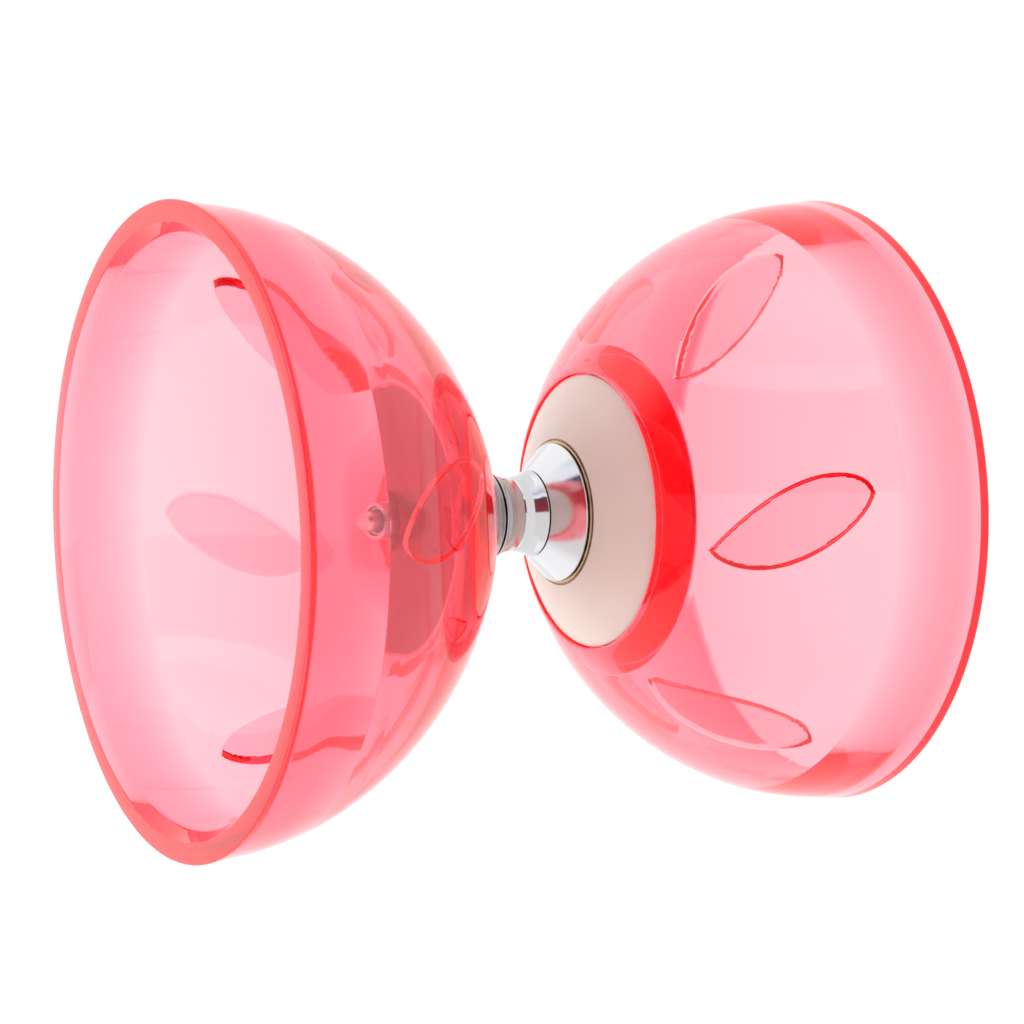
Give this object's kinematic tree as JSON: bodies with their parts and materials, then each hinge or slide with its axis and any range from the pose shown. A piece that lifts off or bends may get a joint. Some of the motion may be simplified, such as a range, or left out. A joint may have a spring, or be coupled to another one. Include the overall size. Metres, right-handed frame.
{
  "type": "diabolo",
  "caption": "Two translucent red bowls with leaf reliefs, back to back on a bearing axle with polished cones and a free-spinning string roller.",
  "frame": {"origin": "the middle of the axle, halfway between the two cups", "axes": "+Z along the axle towards the mouth of the upper cup; +X close to the hub end of a leaf relief"},
  "size_m": [0.1248, 0.1248, 0.144],
  "materials": {
    "red_plastic": "clear red tinted plastic, glossy, slightly flexible",
    "ivory_plastic": "ivory moulded plastic, satin",
    "polished_aluminium": "turned and polished",
    "dark_fibre": "dark red-brown pressed fibre, satin",
    "zinc_steel": "zinc plated",
    "bearing_steel": "ground bearing steel",
    "brass": "plain brass shim",
    "nylon": "natural nylon"
  },
  "bodies": {
    "cups_and_axle": {"axle": "zinc_steel", "bearing_1_inner_race": "bearing_steel", "bearing_2_inner_race": "bearing_steel", "bearing_3_inner_race": "bearing_steel", "upper_cup": "red_plastic", "upper_hub_disc": "ivory_plastic", "upper_cone": "polished_aluminium", "upper_cone_washer": "brass", "upper_backing_plate": "dark_fibre", "upper_washer": "zinc_steel", "upper_lock_nut": "zinc_steel", "upper_nut_insert": "nylon", "lower_cup": "red_plastic", "lower_hub_disc": "ivory_plastic", "lower_cone": "polished_aluminium", "lower_cone_washer": "brass", "lower_backing_plate": "dark_fibre", "lower_washer": "zinc_steel", "lower_lock_nut": "zinc_steel", "lower_nut_insert": "nylon"},
    "roller": {"roller": "polished_aluminium", "bearing_1_outer_race": "bearing_steel", "bearing_2_outer_race": "bearing_steel", "bearing_3_outer_race": "bearing_steel"},
    "ball_cage_1": {"bearing_1_ball_cage": "bearing_steel"},
    "ball_cage_2": {"bearing_2_ball_cage": "bearing_steel"},
    "ball_cage_3": {"bearing_3_ball_cage": "bearing_steel"}
  },
  "joints": [
    {"name": "roller_spin", "type": "hinge", "parent": "cups_and_axle", "child": "roller", "pos_m": [0, 0, 0], "axis": [0, 0, 1], "continuous": true},
    {"name": "ball_cage_1_spin", "type": "hinge", "parent": "cups_and_axle", "child": "ball_cage_1", "pos_m": [0, 0, -0.0032], "axis": [0, 0, 1], "continuous": true},
    {"name": "ball_cage_2_spin", "type": "hinge", "parent": "cups_and_axle", "child": "ball_cage_2", "pos_m": [0, 0, 0], "axis": [0, 0, 1], "continuous": true},
    {"name": "ball_cage_3_spin", "type": "hinge", "parent": "cups_and_axle", "child": "ball_cage_3", "pos_m": [0, 0, 0.0032], "axis": [0, 0, 1], "continuous": true}
  ],
  "couplings": [
    {"joint": "ball_cage_1_spin", "follows": "roller_spin", "ratio": 0.5645},
    {"joint": "ball_cage_2_spin", "follows": "roller_spin", "ratio": 0.5645},
    {"joint": "ball_cage_3_spin", "follows": "roller_spin", "ratio": 0.5645}
  ]
}
